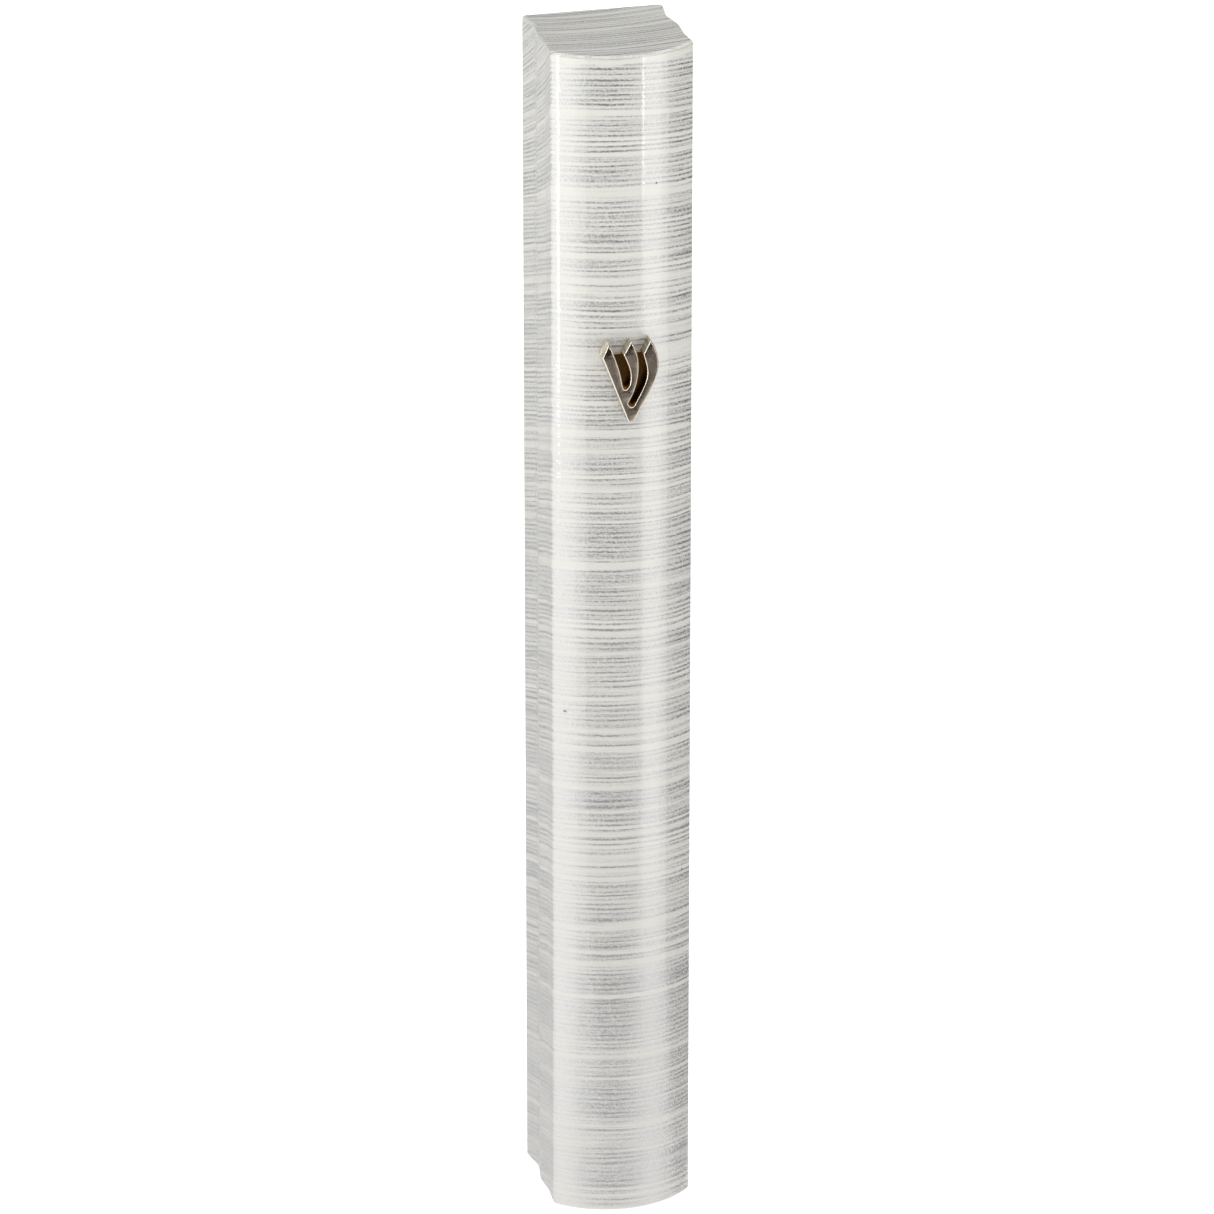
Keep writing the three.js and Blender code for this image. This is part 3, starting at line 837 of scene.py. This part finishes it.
def platedCasting():
    # cast zinc, bright nickel plate rubbed back to a satin face: warm grey front, mirror-bright
    # rims, honey-brown tarnish on the web down in the slots, and painted brown shade on the slot walls that
    # face another wall
    material, tree = newMaterial("nickelPlatedZincCasting")
    place = addNode(tree, "ShaderNodeTexCoord")["Object"]
    depth = addNode(tree, "ShaderNodeSeparateXYZ", {0: place})["Y"]
    face = emblemLow.y
    below = addNode(tree, "ShaderNodeMapRange", {
        "Value": depth, "From Min": face + 0.2 * mm, "From Max": face + 1.1 * mm},
        interpolation_type="SMOOTHSTEP")[0]
    # painted shade: slot walls that face another wall turn honey brown, more the nearer that wall and the
    # deeper down; the web floor takes the same brown as tarnish
    webTarnishWallShade = addNode(tree, "ShaderNodeAttribute", attribute_name="webTarnishWallShade")["Fac"]
    slotTarnishAndShade = calc(tree, "MULTIPLY", below, webTarnishWallShade)
    onFace = addNode(tree, "ShaderNodeMapRange", {
        "Value": depth, "From Min": face + 0.01 * mm, "From Max": face + 0.04 * mm,
        "To Min": 1.0, "To Max": 0.0})[0]
    cloud = addNode(tree, "ShaderNodeTexNoise", {"Vector": place, "Scale": 1.3 / mm, "Detail": 4.0})[0]
    grit = addNode(tree, "ShaderNodeTexNoise", {"Vector": place, "Scale": 9 / mm, "Detail": 2.0})[0]
    rubbed = addNode(tree, "ShaderNodeMix", {
        "Factor": cloud, "A": linear("a3978a"), "B": linear("b9ac9d")}, data_type="RGBA")["Result"]
    plate = addNode(tree, "ShaderNodeMix", {
        "Factor": onFace, "A": linear("d8cfbf"), "B": rubbed}, data_type="RGBA")["Result"]
    colour = addNode(tree, "ShaderNodeMix", {
        "Factor": slotTarnishAndShade, "A": plate, "B": linear("8d6632")}, data_type="RGBA")["Result"]
    satin = addNode(tree, "ShaderNodeMapRange", {"Value": cloud, "To Min": 0.2, "To Max": 0.27})[0]
    roughness = addNode(tree, "ShaderNodeMix", {"Factor": onFace, "A": 0.14, "B": satin})[0]
    relief = addNode(tree, "ShaderNodeBump", {"Strength": 0.12, "Distance": 0.02 * mm, "Height": grit})[0]
    shader = addNode(tree, "ShaderNodeBsdfPrincipled", {
        "Base Color": colour, "Metallic": 1.0, "Roughness": roughness, "Normal": relief})
    addNode(tree, "ShaderNodeOutputMaterial", {"Surface": shader[0]})
    return material


def letterCurve(depth):
    # the outline as one closed Bezier spline, extruded and rimmed, lying in its own plane
    half = emblemShape["height"] / 2
    curve = bpy.data.curves.new("shin_letter", "CURVE")
    curve.dimensions = "2D"
    curve.fill_mode = "BOTH"
    curve.resolution_u = 14
    curve.extrude = depth / 2 - emblemShape["rim"]
    curve.bevel_depth = emblemShape["rim"]
    curve.bevel_resolution = 3
    curve.offset = -emblemShape["rim"]
    spline = curve.splines.new("BEZIER")
    spline.bezier_points.add(len(letterPath) - 1)
    spline.use_cyclic_u = True
    knots = spline.bezier_points
    here = Vector((*letterStart, 0)) * half
    for number, leg in enumerate(letterPath):
        places = [Vector((leg[i], leg[i + 1], 0)) * half for i in range(0, len(leg), 2)]
        end = places[-1]
        if len(places) == 1:
            first, second = here.lerp(end, 1 / 3), here.lerp(end, 2 / 3)
        elif len(places) == 2:
            first, second = here.lerp(places[0], 2 / 3), end.lerp(places[0], 2 / 3)
        else:
            first, second = places[0], places[1]
        after = knots[(number + 1) % len(letterPath)]
        knots[number].co = here
        knots[number].handle_left_type = knots[number].handle_right_type = "FREE"
        knots[number].handle_right = first
        after.handle_left_type = after.handle_right_type = "FREE"
        after.handle_left = second
        here = end
    letter = bpy.data.objects.new("shin_letter", curve)
    bpy.context.scene.collection.objects.link(letter)
    return letter


def markSlots(letter, face):
    # a number on every face: 1 on the web and where it looks across a slot at another wall, 0 out in the
    # open; it masks the web's tarnish and the painted shade on the slot walls
    reach, fade = emblemShape["slotReach"], emblemShape["slotFade"]
    bpy.context.view_layer.update()
    webTarnishWallShade = letter.data.attributes.new("webTarnishWallShade", "FLOAT", "FACE")
    for side in letter.data.polygons:
        if side.normal.y < -0.9 and side.center.y > face + 0.9 * emblemShape["webBelowFace"]:
            webTarnishWallShade.data[side.index].value = 1
        elif abs(side.normal.y) < 0.3:
            start = side.center + 0.01 * mm * side.normal
            hit, there, _, _ = letter.ray_cast(start, side.normal, distance=reach)
            if hit:
                webTarnishWallShade.data[side.index].value = min(1, (reach - (there - start).length) / fade)


def buildEmblem():
    shape = emblemShape
    half = shape["height"] / 2
    face = emblemLow.y
    crownRadius = (halfWidth ** 2 + caseShape["crownRise"] ** 2) / (2 * caseShape["crownRise"])
    depth = shape["thickness"] + shape["backSpare"]
    letter = letterCurve(depth)
    makeActive(letter)
    bpy.ops.object.convert(target="MESH")
    letter = bpy.context.object
    letter.rotation_euler = (math.pi / 2, 0, 0)
    letter.location = (0, face + depth / 2, emblemZ)
    bpy.ops.object.transform_apply(location=True, rotation=True, scale=True)
    facesOut(letter)

    # facet each head: cut the face along its fold, then let the tip fall back
    for left, right in headFolds:
        start = Vector((left[0] * half, face, emblemZ + left[1] * half))
        end = Vector((right[0] * half, face, emblemZ + right[1] * half))
        along = (end - start).normalized()
        up = Vector((-along.z, 0, along.x))
        reach = shape["headReach"] * half
        stroke = (start.x - 0.05 * half, end.x + 0.1 * half)

        def onHead(point):
            rise = (point - start).dot(up)
            return (rise > 0.004 * mm and rise < reach and stroke[0] < point.x < stroke[1]
                    and point.y < face + 0.5 * shape["thickness"])

        pick(letter, "FACE", lambda middle, normal: (
            stroke[0] < middle.x < stroke[1] and middle.z > emblemZ + 0.3 * half
            and middle.y < face + 0.5 * shape["thickness"]))
        bpy.ops.mesh.bisect(plane_co=start, plane_no=up, threshold=0.001 * mm)
        bpy.ops.object.mode_set(mode="OBJECT")
        for corner in letter.data.vertices:
            if onHead(corner.co):
                corner.co.y += (corner.co - start).dot(up) * shape["facetSlope"]

    # a thin web joins the strokes at the bottom of both slots
    bpy.ops.mesh.primitive_circle_add(vertices=len(shape["web"]), radius=half, fill_type="NGON")
    web = takePrimitive("web")
    for corner, (across, height) in zip(web.data.vertices, shape["web"]):
        corner.co = (across * half, face + shape["webBelowFace"], emblemZ + height * half)
    pick(web, "FACE", lambda middle, normal: True)
    extrudeFace((0, shape["webThickness"], 0))
    bpy.ops.object.mode_set(mode="OBJECT")
    facesOut(web)
    combine(letter, web, "UNION")

    crown = shape["glueLine"] + crownRadius
    bpy.ops.mesh.primitive_cylinder_add(
        vertices=256, radius=crown, depth=3 * shape["height"], location=(0, crestY + crownRadius, emblemZ))
    combine(letter, takePrimitive("crownCutter"), "DIFFERENCE")
    for across, height in shape["pins"]:
        bpy.ops.mesh.primitive_cylinder_add(
            vertices=40, radius=shape["pinRadius"], depth=shape["pinLength"] + shape["pinRoot"],
            rotation=(math.pi / 2, 0, 0), location=(
                across * half, crestY + (shape["pinLength"] - shape["pinRoot"]) / 2, emblemZ + height * half))
        pin = takePrimitive("pin")
        pick(pin, "EDGE", lambda middle, way: middle.y > crestY + shape["pinLength"] - 0.01 * mm)
        roundOff(shape["pinRounding"], 2)
        bpy.ops.object.mode_set(mode="OBJECT")
        combine(letter, pin, "UNION")
    markSlots(letter, face)
    return letter


# foam tape and its liner

tapeShape = {
    "cornerRounding": 0.8 * mm, "edgeWaver": 0.05 * mm, "slack": 0.01 * mm, "slices": 60,
    "drawnIn": (0.985, 1, 0.999),
}
linerShape = {"cornerRounding": 1.2 * mm, "tabGap": 0.3 * mm, "bends": 8, "tabLift": 0.7 * mm}


def foam():
    # closed-cell PE foam cut from a roll: chalky white, tiny burst cells along the cut edges, with painted
    # shade down in each cell's hollow
    material, tree = newMaterial("closedCellFoam")
    place = addNode(tree, "ShaderNodeTexCoord")["Object"]
    cells = addNode(tree, "ShaderNodeTexVoronoi", {"Vector": place, "Scale": 5.5 / mm})["Distance"]
    # painted shade: each burst cell is darker towards its middle, where the bump sinks
    tone = addNode(tree, "ShaderNodeMapRange", {"Value": cells, "From Max": 0.6})[0]
    colour = addNode(tree, "ShaderNodeMix", {
        "Factor": tone, "A": linear("dcdad3"), "B": linear("f3f2ee")}, data_type="RGBA")["Result"]
    relief = addNode(tree, "ShaderNodeBump", {"Strength": 0.8, "Distance": 0.05 * mm, "Height": cells})[0]
    shader = addNode(tree, "ShaderNodeBsdfPrincipled", {
        "Base Color": colour, "Roughness": 0.88, "Normal": relief})
    addNode(tree, "ShaderNodeOutputMaterial", {"Surface": shader[0]})
    return material


def releasePaper():
    # siliconised kraft-yellow paper: fibrous underneath, waxy and slightly shiny on top
    material, tree = newMaterial("siliconisedReleasePaper")
    place = addNode(tree, "ShaderNodeTexCoord")["Object"]
    fibres = addNode(tree, "ShaderNodeTexNoise", {
        "Vector": place, "Scale": 1.4 / mm, "Detail": 6.0, "Distortion": 0.8})[0]
    waves = addNode(tree, "ShaderNodeTexNoise", {"Vector": place, "Scale": 0.08 / mm, "Detail": 2.0})[0]
    tone = addNode(tree, "ShaderNodeMapRange", {"Value": fibres, "From Min": 0.3, "From Max": 0.7})[0]
    colour = addNode(tree, "ShaderNodeMix", {
        "Factor": tone, "A": linear("cfa64c"), "B": linear("e0bf72")}, data_type="RGBA")["Result"]
    height = calc(tree, "MULTIPLY_ADD", waves, 6.0, fibres)
    relief = addNode(tree, "ShaderNodeBump", {"Strength": 0.3, "Distance": 0.03 * mm, "Height": height})[0]
    shader = addNode(tree, "ShaderNodeBsdfPrincipled", {
        "Base Color": colour, "Roughness": 0.42, "Normal": relief,
        "Coat Weight": 0.25, "Coat Roughness": 0.3})
    addNode(tree, "ShaderNodeOutputMaterial", {"Surface": shader[0]})
    return material


def buildTape():
    slack = Vector((0, tapeShape["slack"], 0))
    tape = block("foam_tape", tapeLow + slack, tapeHigh - slack)
    pick(tape, "EDGE", lambda middle, way: abs(way.y) > 0.9)
    roundOff(tapeShape["cornerRounding"], 6)
    bpy.ops.object.mode_set(mode="OBJECT")
    slices = tapeShape["slices"]
    for number in range(1, slices):
        z = tapeLow.z + (tapeHigh.z - tapeLow.z) * number / slices
        bisectAt(tape, (0, 0, z), upright)
    pick(tape, "VERT", lambda corner, normal: abs(normal.x) > 0.3)
    bpy.ops.transform.vertex_random(offset=tapeShape["edgeWaver"], uniform=0, normal=0, seed=4)
    bpy.ops.transform.resize(value=tapeShape["drawnIn"], center_override=(0, 0, 0))
    bpy.ops.object.mode_set(mode="OBJECT")
    for corner in tape.data.vertices:
        corner.co.y = min(max(corner.co.y, tapeLow.y + slack.y), tapeHigh.y - slack.y)
    return tape


def buildLiner():
    liner = block("release_liner", linerLow, linerHigh)
    pick(liner, "EDGE", lambda middle, way: abs(way.y) > 0.9)
    roundOff(linerShape["cornerRounding"], 6)
    bpy.ops.object.mode_set(mode="OBJECT")
    tabTop = tapeLow.z - linerShape["tabGap"]
    tabLength = tabTop - linerLow.z
    bends = linerShape["bends"]
    for number in range(bends):
        bisectAt(liner, (0, 0, tabTop - tabLength * number / bends), upright)
    for corner in liner.data.vertices:
        below = max(tabTop - corner.co.z, 0) / tabLength
        corner.co.y -= linerShape["tabLift"] * below ** 2
    return liner


# everything in its place

film = printedFilm()
whiteAbs = mouldedAbs()
case = buildCase()
handOver(case, film, "case", "case_body")
plug = buildPlug()
handOver(plug, whiteAbs, "case", "top_plug")
stopper = buildStopper()
handOver(stopper, mouldedSilicone(), "stopper", "stopper")
roll = buildParchment()
handOver(roll, parchment(), "scroll", "scroll_parchment")
wrap = buildWrap()
handOver(wrap, clearFilm(), "scroll", "scroll_wrap")
emblem = buildEmblem()
handOver(emblem, platedCasting(), "case", "shin_emblem")
tape = buildTape()
handOver(tape, foam(), "case", "mounting_tape")
liner = buildLiner()
handOver(liner, releasePaper(), "case", "tape_liner")
